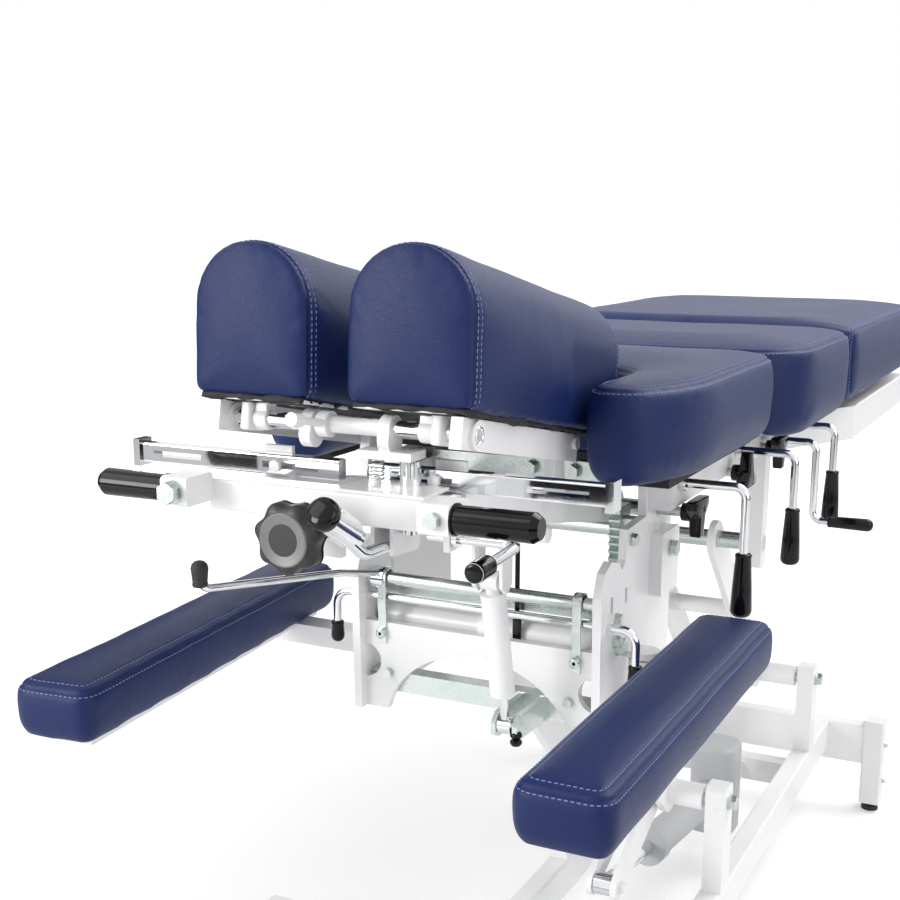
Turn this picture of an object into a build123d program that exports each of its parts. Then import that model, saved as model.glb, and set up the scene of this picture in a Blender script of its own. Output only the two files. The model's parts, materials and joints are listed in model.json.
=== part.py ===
from build123d import *
from math import atan2, cos, degrees, hypot, pi, radians, sin
import os

# Chiropractic table in millimetres, +Z up, floor at z 0.
# Stations run along the table from the head end, so that station 0 is the front of the armrests.
# Sides are measured from the table's middle plane, with the right side positive.

# Shift that puts the middle of the whole table at the origin
sideShift = 14.62
stationShift = -912.81

# Overall levels and cushion sizes
tableLength = 1825
chestHalf = 264
pelvicHalf = 283
legHalf = 278
seamZ = 914
crownZ = 920
cushionBottomZ = 812
boardThick = 9
skirtBottomZ = 797

# Base
railInner = 190
railOuter = 221
leftRail = (-37, -6)
railBottomZ = 110
railTopZ = 165
beamHalf = 285
legOuter = 322
legTopZ = 176
footHeight = 15
baseFrontStation = 435
baseRearStation = 1504
baseMidStation = 1295

# Lift linkage: two parallel arms between the base posts and the table frame
liftRun = 310
liftRise = 308
frontPivot = (770, 295)
rearPivot = (1337, 295)
pivotR = 10
runningGap = 0.05
openGap = 0.6
crossTubeR = 13
armLeft = -5
armRight = 187

# Lift actuator, from its rear eye on the base to its front eye in the crank
actuatorX = 100
actuatorRear = (1265, 120)
actuatorFront = (611, 218)

# Table frame
plateInner = 150
plateOuter = 160
frameRailInner = 160
frameRailOuter = 190
frameTopZ = 790
crossTopZ = 787
wideRailBottomZ = 730
wideRailTopZ = 784
releaseBar = (426, 634)
headPivot = (600, 736)
crossStations = (705, 880, 1000, 1240, 1500, 1790)
pinSide = 60
pinBottomZ = 762

# Levers on the right of the table: station, height of the spindle and length down
leverR = 5.5
leverReach = 270
cockingLevers = {"chest": (585, 775, 155), "pelvic": (840, 775, 150), "leg": (1105, 775, 143)}
crankSpindle = (1065, 756)
tKnobs = {"head": (600, 736), "chest": (800, 751), "pelvic": (985, 757)}

# Head frame and head carriage
beamFront = 85
beamBack = 115
beamBottomZ = 809
beamTopZ = 839
headArmInner = 84
headArmOuter = 108
gripPlace = (58, 832)
starPlace = (-2, 804)
centreLeverX = 49
railStud = (88, 845)
carriagePivot = (374, 850)
carriageTilt = 11.3
carriageBottomW = 14
cushionLean = 8.5
postPlace = (70, 130)
springPlace = (36, 128)

# Armrests: middle of each pad at its head end and foot end, as sides
padWidth = 96
padLength = 555
padBottomZ = 570
padTopZ = 630
armPivot = (185, 485)
armrests = {"left": (-275, -323, -1), "right": (272, 272, 1)}


def box(x0, x1, d0, d1, z0, z1):
    """Box between two sides, two stations and two heights."""
    middle = Pos((x0 + x1) / 2, (d0 + d1) / 2, (z0 + z1) / 2)
    return middle * Box(abs(x1 - x0), abs(d1 - d0), abs(z1 - z0))


def softBox(x0, x1, d0, d1, z0, z1, axis, r):
    """Box whose edges along one axis are rounded, as on a square tube."""
    body = box(x0, x1, d0, d1, z0, z1)
    return fillet(body.edges().filter_by(axis), r)


def rod(start, end, r, bore=0):
    """Round bar or tube from one point to another."""
    run = Vector(*end) - Vector(*start)
    plane = Plane(origin=start, z_dir=run)
    body = plane * Cylinder(r, run.length, align=(Align.CENTER, Align.CENTER, Align.MIN))
    if bore:
        hole = plane * Cylinder(bore, run.length, align=(Align.CENTER, Align.CENTER, Align.MIN))
        body = body - hole
    return body


def rodX(x0, x1, place, r, bore=0):
    """Round bar or tube along X at a station and height."""
    return rod((x0, place[0], place[1]), (x1, place[0], place[1]), r, bore)


def hexHead(at, direction, flats, height):
    """Hexagon head or nut standing on a point."""
    plane = Plane(origin=at, z_dir=direction)
    return extrude(plane * RegularPolygon(flats / 2, 6, major_radius=False), height)


def bolt(at, direction, flats, height):
    """Hexagon head on a washer."""
    d = Vector(*direction).normalized()
    washer = rod(at, tuple(Vector(*at) + d * 2), flats * 0.62)
    head = hexHead(tuple(Vector(*at) + d * 2), direction, flats, height)
    return washer + head


def plateX(x0, x1, points, r=0):
    """Flat plate across X from an outline of stations and heights."""
    face = make_face(Polyline(*[(0, d, z) for d, z in points], close=True))
    if r:
        face = fillet(face.vertices(), r)
    return Pos(x0, 0, 0) * extrude(face, x1 - x0, dir=(1, 0, 0))


def link(x0, x1, a, ra, b, rb):
    """Flat link across X: the hull of two circles at stations and heights."""
    run = hypot(b[0] - a[0], b[1] - a[1])
    turn = atan2(b[1] - a[1], b[0] - a[0])
    lean = pi / 2 - atan2(rb - ra, run) if run else pi / 2
    corners = []
    for place, r, side in ((a, ra, 1), (b, rb, 1), (b, rb, -1), (a, ra, -1)):
        angle = turn + side * lean
        corners.append((place[0] + r * cos(angle), place[1] + r * sin(angle)))
    body = plateX(x0, x1, corners)
    return body + rodX(x0, x1, a, ra) + rodX(x0, x1, b, rb)


def bentRod(points, r, bends):
    """Round rod along straight runs with rounded bends."""
    path = FilletPolyline(*points, radius=bends)
    section = Plane(origin=path @ 0, z_dir=path % 0) * Circle(r)
    return sweep(section, path=path)


def taperGrip(top, bottom, rTop, rBottom):
    """Grip that swells from one end to the other, with a rounded cap."""
    run = Vector(*bottom) - Vector(*top)
    plane = Plane(origin=top, z_dir=run)
    side = [(0, 0), (rTop, 0), (rBottom, run.length - 6), (rBottom - 4, run.length), (0, run.length)]
    face = Plane.XZ * make_face(Polyline(*side, close=True))
    return plane * revolve(face, Axis.Z)


def arcPoints(center, r, start, end):
    """Middle and end point of an arc, for an outline."""
    middle = (start + end) / 2
    points = []
    for angle in (middle, end):
        points.append((center[0] + r * cos(radians(angle)), center[1] + r * sin(radians(angle))))
    return points


def outline(start, moves, z):
    """Closed outline at a height from lines (one point) and arcs (two points)."""
    edges = []
    here = start
    for move in moves:
        if len(move) == 1:
            edges.append(Line((*here, 0), (*move[0], 0)))
        else:
            edges.append(ThreePointArc((*here, 0), (*move[0], 0), (*move[1], 0)))
        here = move[-1]
    return Pos(0, 0, z) * make_face(edges)


def padOutline(half, front, back, frontR, backR, z):
    """Cushion outline with rounded front and back corners."""
    moves = [
        [(half - frontR, front)],
        arcPoints((half - frontR, front + frontR), frontR, -90, 0),
        [(half, back - backR)],
        arcPoints((half - backR, back - backR), backR, 0, 90),
        [(-half + backR, back)],
        arcPoints((-half + backR, back - backR), backR, 90, 180),
        [(-half, front + frontR)],
        arcPoints((-half + frontR, front + frontR), frontR, 180, 270),
    ]
    return outline((-half + frontR, front), moves, z)


def chestOutline(inset, z):
    """Chest cushion outline with two front lobes and a recess for the head cushions."""
    half = chestHalf - inset
    back = 767 - inset
    recessHalf = 156 + inset
    recessBack = 510 + inset
    cornerR = 45 + inset
    backR = 55 - inset
    lobeTip = (recessHalf + half - 36) / 2
    hollow = (recessHalf - cornerR, recessBack - cornerR)
    side = [(half - 12, 392 + inset), (half - 36, 338 + inset)]
    front = [(lobeTip, 323 + inset), (recessHalf, 352 + inset)]
    moves = [
        arcPoints((half - backR, back - backR), backR, 90, 0),
        [(half, 480)],
        side,
        front,
        [(recessHalf, hollow[1])],
        arcPoints(hollow, cornerR, 0, 90),
        [(-hollow[0], recessBack)],
        arcPoints((-hollow[0], hollow[1]), cornerR, 90, 180),
        [(-recessHalf, 352 + inset)],
        [(-front[0][0], front[0][1]), (-side[1][0], side[1][1])],
        [(-side[0][0], side[0][1]), (-half, 480)],
        [(-half, back - backR)],
        arcPoints((-half + backR, back - backR), backR, 180, 90),
        [(half - backR, back)],
    ]
    return outline((half - backR, back), moves, z)


# Drawn-in bottom edge, full sides, seam and crown of the main cushions: inset and height
cushionLayers = ((14, cushionBottomZ), (2, 832), (0, 880), (3, seamZ), (26, crownZ))


def save(name, body):
    """Write one piece, moved so that the middle of the table is at the origin."""
    moved = Pos(sideShift, stationShift, 0) * body
    solids = moved.solids()
    shape = solids[0] if len(solids) == 1 else Compound(children=solids)
    export_step(shape, "parts/" + name + ".step")


def both(make):
    """Right and left copies of a piece."""
    piece = make()
    return Compound(children=piece.solids() + mirror(piece, Plane.YZ).solids())


# Base frame with rails, cross beams and the lug for the actuator
def baseFrame():
    body = softBox(-beamHalf, beamHalf, baseFrontStation - 15, baseFrontStation + 15, 90, railTopZ, Axis.X, 4)
    body += Pos(0, baseRearStation - baseFrontStation, 0) * body
    body += box(leftRail[1], railInner, baseMidStation - 15, baseMidStation + 15, railBottomZ, 150)
    for x0, x1 in (leftRail, (railInner, railOuter)):
        body += softBox(x0, x1, baseFrontStation, baseRearStation, railBottomZ, railTopZ, Axis.Y, 4)
    for x in (actuatorX - 14, actuatorX + 8):
        lug = link(x, x + 6, actuatorRear, 14, (actuatorRear[0] + 14, 128), 14)
        body += lug - box(x - 1, x + 7, baseMidStation - 15, baseMidStation + 20, 100, 150)
    return body + rodX(actuatorX - 14, actuatorX + 14, actuatorRear, 6)


def baseLegs():
    legs = []
    for station in (baseFrontStation, baseRearStation):
        leg = softBox(beamHalf, legOuter, station - 19, station + 19, footHeight, legTopZ, Axis.Z, 5)
        legs += leg.solids() + mirror(leg, Plane.YZ).solids()
    return Compound(children=legs)


def levellingFeet():
    feet = []
    x = (beamHalf + legOuter) / 2
    for station in (baseFrontStation, baseRearStation):
        foot = rod((x, station, 0), (x, station, 8), 15) + rod((x, station, 8), (x, station, footHeight), 6)
        feet += foot.solids() + mirror(foot, Plane.YZ).solids()
    return Compound(children=feet)


def pivotPosts():
    posts = []
    for place in (frontPivot, rearPivot):
        for x0, x1 in ((leftRail[0], leftRail[1] - 3), (railInner + 3, railOuter)):
            post = box(x0, x1, place[0] - 20, place[0] + 20, railTopZ, 320)
            post = fillet(post.edges().filter_by(Axis.X).group_by(Axis.Z)[-1], 12)
            posts += (post - rodX(x0 - 1, x1 + 1, place, pivotR)).solids()
    return Compound(children=posts)


def basePivotShafts():
    shafts = []
    for place in (frontPivot, rearPivot):
        shafts += rodX(leftRail[0], railOuter, place, pivotR).solids()
    return Compound(children=shafts)


def baseBolts():
    bolts = []
    for side, x in ((-1, leftRail[0]), (1, railOuter)):
        for place in (frontPivot, rearPivot):
            bolts += bolt((x, *place), (side, 0, 0), 19, 9).solids()
        for z in (60, 130):
            bolts += bolt((side * legOuter, baseRearStation, z), (side, 0, 0), 10, 4).solids()
            bolts += bolt((side * legOuter, baseFrontStation, z), (side, 0, 0), 10, 4).solids()
    return Compound(children=bolts)


pieces = {}
pieces["base_frame"] = baseFrame()
pieces["base_legs"] = baseLegs()
pieces["levelling_feet"] = levellingFeet()
pieces["pivot_posts"] = pivotPosts()
pieces["base_pivot_shafts"] = basePivotShafts()
pieces["base_bolts"] = baseBolts()


# Lift arms: a tube on each shaft with two blades between them
def upperOf(place):
    return (place[0] - liftRun, place[1] + liftRise)


def liftArmFront():
    low = frontPivot
    high = upperOf(low)
    body = rodX(armLeft, armRight, low, 18)
    body += rodX(-146, 146, high, 17)
    for x in (armLeft, 128):
        body += link(x, x + 10, low, 30, high, 28)
    middle = ((low[0] + high[0]) / 2, (low[1] + high[1]) / 2)
    body += rodX(armLeft, 130, middle, 14)
    for x in (actuatorX - 21, actuatorX + 13):
        body += link(x, x + 8, low, 26, actuatorFront, 18)
    body += bolt((actuatorX + 21, *actuatorFront), (1, 0, 0), 15, 7)
    body -= rodX(armLeft - 3, armRight + 3, low, pivotR + runningGap)
    return body - rodX(-150, 150, high, pivotR + runningGap)


def liftArmRear():
    low = rearPivot
    high = upperOf(low)
    body = rodX(armLeft, armRight, low, 18)
    for x in (armLeft, 110):
        body += link(x, x + 10, low, 30, high, 28)
    middle = ((low[0] + high[0]) / 2, (low[1] + high[1]) / 2)
    body += rodX(armLeft, 112, middle, 14)
    body -= rodX(armLeft - 3, armRight + 3, low, pivotR + runningGap)
    return body - rodX(-150, 150, high, crossTubeR + openGap)


pieces["lift_arm_front"] = liftArmFront()
pieces["lift_arm_rear"] = liftArmRear()


# Lift actuator, laid out from its rear eye towards its front eye
actuatorRun = (actuatorFront[0] - actuatorRear[0], actuatorFront[1] - actuatorRear[1])
actuatorLength = hypot(*actuatorRun)


def alongActuator(s):
    share = s / actuatorLength
    return (actuatorX, actuatorRear[0] + actuatorRun[0] * share, actuatorRear[1] + actuatorRun[1] * share)


def actuatorMotor():
    body = box(actuatorX - 38, actuatorX + 38, 1115, 1192, 72, 224)
    body = fillet(body.edges().filter_by(Axis.Z), 24)
    body = fillet(body.edges().group_by(Axis.Z)[-1], 8)
    body += rod(alongActuator(0), alongActuator(90), 7)
    body += rodX(actuatorX - 7, actuatorX + 7, actuatorRear, 12)
    return body - rodX(actuatorX - 8, actuatorX + 8, actuatorRear, 6 + runningGap)


def actuatorHousing():
    body = rod(alongActuator(140), alongActuator(480), 25)
    body += rod(alongActuator(452), alongActuator(480), 28)
    body -= rod(alongActuator(205), alongActuator(481), pivotR + runningGap)
    return body - box(0, 200, 1114, 1300, 60, 260)


def actuatorRod():
    body = rod(alongActuator(320), alongActuator(actuatorLength - 8), pivotR)
    return body + rodX(actuatorX - 12, actuatorX + 12, actuatorFront, 15)


pieces["actuator_motor"] = actuatorMotor()
pieces["actuator_housing"] = actuatorHousing()
pieces["actuator_rod"] = actuatorRod()


# Table frame: side plates, arch, ladder and drop posts
frontTop = upperOf(frontPivot)
rearTop = upperOf(rearPivot)


def sidePlate():
    points = (
        (408, 493), (403, 672), (414, 698), (435, 708), (462, 700), (470, 690), (483, 699),
        (487, 734), (551, 737), (547, 777), (631, 777), (650, 760), (655, 493),
    )
    body = plateX(plateInner, plateOuter, points)
    body -= rodX(149, 161, frontTop, pivotR)
    body -= rodX(149, 161, headPivot, pivotR)
    body -= rodX(149, 161, releaseBar, 5 + runningGap)
    for station in (439, 487):
        body -= link(149, 161, (station, 650), 4, (station, 662), 4)
    boss = softBox(plateOuter, plateOuter + 16, 568, 635, 634, 713, Axis.X, 6)
    return body + boss


def archPlate():
    face = Plane.XZ * Rectangle(300, 110, align=(Align.CENTER, Align.MIN))
    arch = Plane.XZ * Pos(0, -18) * Ellipse(122, 100)
    notchRight = Plane.XZ * Pos(150, 59) * Circle(21)
    notchLeft = Plane.XZ * Pos(-150, 59) * Circle(21)
    face = face - arch - notchRight - notchLeft
    body = Pos(0, 431, 493) * extrude(face, 11)
    return body


def zincBeam():
    body = box(-plateInner, plateInner, 598, 622, 763, crossTopZ)
    for x in (-pinSide, pinSide):
        body -= rod((x, 610, 750), (x, 610, 795), 6 + runningGap)
    return body


def crossBars():
    bars = [
        rodX(-plateInner, plateInner, (428, 657), 8),
        box(-plateInner, plateInner, 445, 450, 634, 652),
        box(-plateInner, plateInner, 432, 455, 512, 537),
        zincBeam(),
    ]
    return Compound(children=[s for bar in bars for s in bar.solids()])


def tableLadder():
    narrow = softBox(frameRailInner, frameRailOuter, 555, 1170, 745, frameTopZ, Axis.Y, 3)
    corners = ((160, 1155, 0), (190, 1140, 0), (265, 1285, 0), (265, 1310, 0), (235, 1310, 0))
    face = Pos(0, 0, wideRailBottomZ) * make_face(Polyline(*corners, close=True))
    slant = extrude(face, wideRailTopZ - wideRailBottomZ)
    wide = softBox(235, 265, 1290, 1815, wideRailBottomZ, wideRailTopZ, Axis.Y, 3)
    rail = narrow + slant + wide
    body = rail + mirror(rail, Plane.YZ)
    for station in crossStations:
        half = 165 if station < 1150 else (212 if station < 1300 else 240)
        body += box(-half, half, station - 15, station + 15, 757, crossTopZ)
        for x in (-pinSide, pinSide):
            body -= rod((x, station, 750), (x, station, 795), 6 + runningGap)
    for values in cockingLevers.values():
        body -= rodX(150, 200, values[:2], 6 + runningGap)
    body -= rodX(150, 200, crankSpindle, 6 + runningGap)
    for name in ("chest", "pelvic"):
        body -= rodX(150, 200, tKnobs[name], 6 + runningGap)
    return body


def dropPosts():
    def one():
        post = box(frameRailInner, frameRailOuter, rearTop[0] - 15, rearTop[0] + 15, 565, 745)
        post = fillet(post.edges().filter_by(Axis.X).group_by(Axis.Z)[0], 12)
        return post - rodX(150, 200, rearTop, crossTubeR)
    return both(one)


def framePivots():
    bars = [
        rodX(-plateOuter, plateOuter, frontTop, pivotR),
        rodX(-frameRailOuter, frameRailOuter, rearTop, crossTubeR),
        rodX(-plateOuter, plateOuter, headPivot, pivotR),
    ]
    return Compound(children=[s for bar in bars for s in bar.solids()])


def rackBar():
    body = box(118, 132, 538, 575, 630, 747)
    for step in range(11):
        z = 640 + step * 9.5
        tooth = make_face(Polyline((0, 538, z - 3.5), (0, 544, z), (0, 538, z + 3.5), close=True))
        body -= Pos(117, 0, 0) * extrude(tooth, 16, dir=(1, 0, 0))
    body += box(132, plateInner, 548, 570, 640, 656)
    return body + box(132, plateInner, 548, 570, 716, 732)


def gasClevis():
    body = box(50, 88, 426, 432, 508, 541)
    for x in (54, 80):
        body += plateX(x, x + 6, ((427, 510), (427, 540), (355, 541), (345, 530), (345, 517), (355, 512)))
    return body + rodX(54, 86, (355, 527), 5)


def plateBolts():
    bolts = []
    for x, z in ((-126, 590), (126, 590), (-118, 540), (118, 540)):
        bolts += bolt((x, 420, z), (0, -1, 0), 10, 5).solids()
    for side in (-1, 1):
        for place in ((454, 636), (450, 611), (500, 720)):
            bolts += bolt((side * plateOuter, *place), (side, 0, 0), 13, 6).solids()
        bolts += bolt((side * (plateOuter + 16), 600, 690), (side, 0, 0), 17, 8).solids()
        bolts += bolt((side * plateOuter, *frontTop), (side, 0, 0), 19, 9).solids()
    for x in (-9, 48):
        bolts += bolt((x, 598, 774), (0, -1, 0), 17, 8).solids()
    return Compound(children=bolts)


def releaseHandle():
    d, z = releaseBar
    points = [(-194, d, z - 62), (-194, d, z), (194, d, z), (194, d, z - 62)]
    body = bentRod(points, 5, 18)
    for x in (-194, 194):
        body += taperGrip((x, d, z - 40), (x, d, z - 66), 7, 8)
    return body


def sleeveBracket():
    def one():
        body = box(plateOuter, armPivot[0], 474, 503, 530, 538)
        body += box(plateOuter, armPivot[0], 474, 503, 586, 594)
        for z in (530, 586):
            body += rod((armPivot[0], armPivot[1], z), (armPivot[0], armPivot[1], z + 8), 18)
        return body + rod((*armPivot, 530), (*armPivot, 594), 8)
    return both(one)


plate = sidePlate()
pieces["side_plate_right"] = plate
pieces["side_plate_left"] = mirror(plate, Plane.YZ)
pieces["arch_plate"] = archPlate()
pieces["cross_bars"] = crossBars()
pieces["table_ladder"] = tableLadder()
pieces["drop_posts"] = dropPosts()
pieces["frame_pivots"] = framePivots()
pieces["rack_bar"] = rackBar()
pieces["gas_spring_clevis"] = gasClevis()
pieces["plate_bolts"] = plateBolts()
pieces["armrest_brackets"] = sleeveBracket()
pieces["release_bar"] = releaseHandle()


# Knobs and levers on the right side
def tKnob(place, root, x, up):
    """Clamping knob on a stud along X with a T-shaped grip whose bar is up (1) or down (-1)."""
    half = ((8, -29), (10, -4), (27, 8), (27, 18))
    points = [(place[0] + d, place[1] + up * z) for d, z in half]
    points += [(place[0] - d, place[1] + up * z) for d, z in reversed(half)]
    return rodX(root, x, place, 6) + rodX(x - 8, x + 3, place, 11) + plateX(x + 2, x + 18, points, 3)


def cockingLever(station, z, drop):
    points = [(161, station, z), (leverReach, station, z), (leverReach, station, z - drop + 20)]
    body = bentRod(points, leverR, 14)
    body += rodX(161, 196, (station, z), 6)
    body += rodX(191, 199, (station, z), 10)
    return body + taperGrip((leverReach, station, z - drop + 76), (leverReach, station, z - drop), 9, 12.5)


def sideCrank():
    d, z = crankSpindle
    points = [(161, d, z), (252, d, z), (252, d, z - 118), (285, d, z - 118)]
    body = bentRod(points, leverR, 14)
    body += rodX(161, 196, crankSpindle, 6)
    body += rodX(191, 199, crankSpindle, 10)
    return body + taperGrip((276, d, z - 118), (340, d, z - 118), 8, 9)


pieces["t_knob_head"] = tKnob(tKnobs["head"], plateOuter, 198, 1)
pieces["t_knob_chest"] = tKnob(tKnobs["chest"], 161, 205, -1)
pieces["t_knob_pelvic"] = tKnob(tKnobs["pelvic"], 161, 205, 1)
for section, values in cockingLevers.items():
    pieces["cocking_lever_" + section] = cockingLever(*values)
pieces["side_crank"] = sideCrank()


# Cushion sections
def crowned(make):
    """Closed cushion between its drawn-in bottom and its crowned top."""
    return loft([make(inset, z) for inset, z in cushionLayers], ruled=True)


def skirted(make, hollowHalf):
    """Cushion whose sides hang lower than its middle, outside the rails."""
    layers = ((14, skirtBottomZ), (2, skirtBottomZ + 18)) + cushionLayers[2:]
    body = loft([make(inset, z) for inset, z in layers], ruled=True)
    return body - box(-hollowHalf, hollowHalf, 700, tableLength + 10, skirtBottomZ - 5, cushionBottomZ)


def pelvicCushion():
    def layer(inset, z):
        return padOutline(pelvicHalf - inset, 785 + inset, 1165 - inset, 100 - inset, 60 - inset, z)
    return skirted(layer, 226)


def legCushion():
    def layer(inset, z):
        return padOutline(legHalf - inset, 1185 + inset, tableLength - inset, 32 - inset, 32 - inset, z)
    return skirted(layer, 256)


def sectionPlate(front, back, half, stations):
    """Plate under a cushion with four guide pins that slide in the cross members."""
    top = cushionBottomZ
    body = box(-half, half, front, back, top - boardThick, top)
    for station in stations:
        for x in (-pinSide, pinSide):
            body += rod((x, station, pinBottomZ), (x, station, top - boardThick), 6)
    return body


chestBoard = sectionPlate(530, 745, 232, (610, 705))
for side in (-1, 1):
    chestBoard += box(side * 186, side * 232, 405, 531, cushionBottomZ - boardThick, cushionBottomZ)
pieces["cushion_chest"] = crowned(chestOutline)
pieces["cushion_pelvic"] = pelvicCushion()
pieces["cushion_leg"] = legCushion()
pieces["section_plate_chest"] = chestBoard
pieces["section_plate_pelvic"] = sectionPlate(830, 1140, 198, (880, 1000))
pieces["section_plate_leg"] = sectionPlate(1205, 1805, 254, (1240, 1790))


# Armrests, each a pad on a bar with a swing arm
def armrestTurn(near, far):
    return degrees(atan2(near - far, padLength))


def armrestPad(near, far):
    layers = ((7, padBottomZ), (1, padBottomZ + 14), (0, padTopZ - 22), (2, padTopZ - 7), (14, padTopZ))
    sections = []
    for inset, z in layers:
        width = padWidth - 2 * inset
        length = padLength - 2 * inset
        sections.append(Pos(0, 0, z) * RectangleRounded(width, length, 18 - inset))
    body = loft(sections, ruled=True)
    place = Pos((near + far) / 2, 5 + padLength / 2, 0)
    return place * Rot(0, 0, armrestTurn(near, far)) * body


def armrestArm(near, far, side):
    place = Pos((near + far) / 2, 5 + padLength / 2, 0)
    bar = place * Rot(0, 0, armrestTurn(near, far)) * box(-25, 25, -245, 255, 558, padBottomZ)
    share = (armPivot[1] - 5) / padLength
    middle = near + (far - near) * share
    x0, x1 = sorted((side * armPivot[0], middle))
    reach = box(x0, x1, armPivot[1] - 18, armPivot[1] + 18, 540, 566)
    pivot = (side * armPivot[0], armPivot[1])
    body = bar + reach + rod((*pivot, 540), (*pivot, 584), 18)
    return body - rod((*pivot, 539), (*pivot, 585), 8 + runningGap)


for name, (near, far, side) in armrests.items():
    pieces["armrest_pad_" + name] = armrestPad(near, far)
    pieces["armrest_arm_" + name] = armrestArm(near, far, side)


# Head frame: two arms from the pivot to the front beam
def headArms():
    slope = (822 - headPivot[1]) / (beamBack - headPivot[0])

    def centre(station):
        return headPivot[1] + (station - headPivot[0]) * slope

    arm = plateX(headArmInner, headArmOuter, (
        (beamBack, beamBottomZ), (beamBack, beamTopZ - 1), (headPivot[0], headPivot[1] + 20),
        (headPivot[0], headPivot[1] - 20),
    ))
    arm += rodX(headArmInner, headArmOuter, headPivot, 20)
    upright = plateX(headArmOuter, 120, ((350, 768), (398, 760), (382, 852), (366, 852)))
    upright += rodX(headArmOuter, 120, carriagePivot, 11)
    arm += upright + rodX(headArmOuter, 140, carriagePivot, 7)
    arm += box(80, 112, 161, 166, 800, 862)
    arm += rod((railStud[0], 140, railStud[1]), (railStud[0], 161, railStud[1]), 2.8)
    arm += hexHead((railStud[0], 144.5, railStud[1]), (0, -1, 0), 11, 5)
    body = arm + mirror(arm, Plane.YZ)
    body += box(-headArmInner, headArmInner, 300, 330, centre(315) - 15, centre(315) + 15)
    for x in (50, 82):
        body += plateX(x, x + 4, ((300, 775), (330, 775), (328, 700), (315, 691), (303, 700)))
    return body - rodX(-120, 120, headPivot, pivotR + runningGap)


def frontBeam():
    body = softBox(-125, 125, beamFront, beamBack, beamBottomZ, beamTopZ, Axis.X, 3)
    for side in (-1, 1):
        block = softBox(122, 152, 44, 86, 818, 846, Axis.X, 5)
        body += block if side > 0 else mirror(block, Plane.YZ)
    body += box(-24, 20, 86, 96, 776, 812)
    body -= rod((starPlace[0], 80, starPlace[1]), (starPlace[0], 117, starPlace[1]), 6 + runningGap)
    for x in (centreLeverX - 14, centreLeverX + 6.5):
        body += plateX(x, x + 4, ((beamBack, 836), (beamBack, 776), (165, 772), (170, 790), (150, 812)))
    body += rodX(centreLeverX - 14, centreLeverX + 10.5, (155, 783), 5)
    body += box(112, 118, 114, 135, 786, 836)
    body -= rodX(111, 119, (124, 798), 5 + runningGap)
    body += box(14, 79, beamFront, 143, beamTopZ, 842) + box(79, 107, beamFront, 136, beamTopZ, 842)
    body -= rod((*postPlace, 830), (*postPlace, 850), pivotR + runningGap)
    return body + rod((*springPlace, 842), (*springPlace, 847), 3.5)


def beamGrips():
    grips = []
    for side in (-1, 1):
        start = (side * 154, *gripPlace)
        grip = rod((side * 152, *gripPlace), start, 14.5)
        grip += taperGrip(start, (side * 232, *gripPlace), 13, 13.5)
        grips += grip.solids()
    return Compound(children=grips)


def beamFasteners():
    bolts = bolt((-138, 44, 832), (0, -1, 0), 19, 9).solids()
    bolts += bolt((138, 44, 832), (0, -1, 0), 13, 6).solids()
    return Compound(children=bolts)


pieces["head_arms"] = headArms()
pieces["front_beam"] = frontBeam()
pieces["beam_grips"] = beamGrips()
pieces["beam_bolts"] = beamFasteners()


def starKnob():
    """Round knob with seven lobes on a stud along the table."""
    face = Circle(27)
    for lobe in range(7):
        angle = 2 * pi * (lobe + 0.5) / 7
        face += Pos(25 * cos(angle), 25 * sin(angle)) * Circle(9.5)
    body = extrude(Plane.XZ * face, 22)
    body += Plane.XZ * Pos(0, 0, 11) * Cylinder(12, 40)
    x, z = starPlace
    return Pos(x, 46, z) * body + rod((x, 40, z), (x, 104, z), 6)


def centreLever():
    x = centreLeverX
    body = bentRod([(x, 155, 783), (x, 78, 785), (x, 40, 812)], 6, 30)
    body += rodX(x - 8, x + 6, (155, 783), 9)
    body += rod((x, 66, 803), (x, 10, 836), 9)
    body += rod((x, 52, 811), (x, 8, 837), 14.5)
    return body - rodX(x - 15, x + 15, (155, 783), 5 + runningGap)


def leftLever():
    ring = rodX(-140, -124, (428, 657), 14)
    points = [(-132, 418, 664), (-150, 360, 676), (-207, 170, 697), (-207, 170, 724)]
    body = ring + bentRod(points, 4.5, (40, 14))
    body += taperGrip((-207, 170, 700), (-207, 170, 727), 7.5, 9)
    return body - rodX(-150, -120, (428, 657), 8 + runningGap)


def rightLever():
    points = [(92, 124, 798), (183, 124, 798), (183, 45, 795)]
    body = bentRod(points, 5, 14)
    body += rodX(119, 124, (124, 798), 9)
    return body + rod((183, 58, 795.5), (183, 30, 794.4), 9)


def guidePost():
    return rod((*postPlace, 796), (*postPlace, 864.6), pivotR)


def dropSpring():
    """Open coil round its guide pin: quarter-turn arcs that climb steadily."""
    turns = 6
    wireR = 0.9
    coilR = 6.2
    low = 842 + wireR
    high = 865.2 - wireR
    count = turns * 4
    points = []
    for step in range(count * 2 + 1):
        angle = step * pi / 4
        z = low + (high - low) * step / (count * 2)
        points.append(Vector(springPlace[0] + coilR * cos(angle), springPlace[1] + coilR * sin(angle), z))
    pieces = []
    for step in range(count):
        a, middle, b = points[2 * step:2 * step + 3]
        pieces.append(ThreePointArc(a, middle, b))
    path = Wire(pieces)
    pitch = (high - low) / turns
    print("drop spring: least gap between turns", round(pitch - 2 * wireR, 2), "mm")
    section = Plane(origin=path @ 0, z_dir=path % 0) * Circle(wireR)
    return sweep(section, path=path)


def slottedRail():
    body = box(17, 258, 145, 159, 835, 855.5)
    body = fillet(body.edges().filter_by(Axis.X), 2)
    for x0, x1 in ((40, 105), (180, 240)):
        body -= box(x0, x1, 144, 160, 842, 848)
    body += box(256, 264, 142, 162, 831, 859)
    return body


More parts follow.
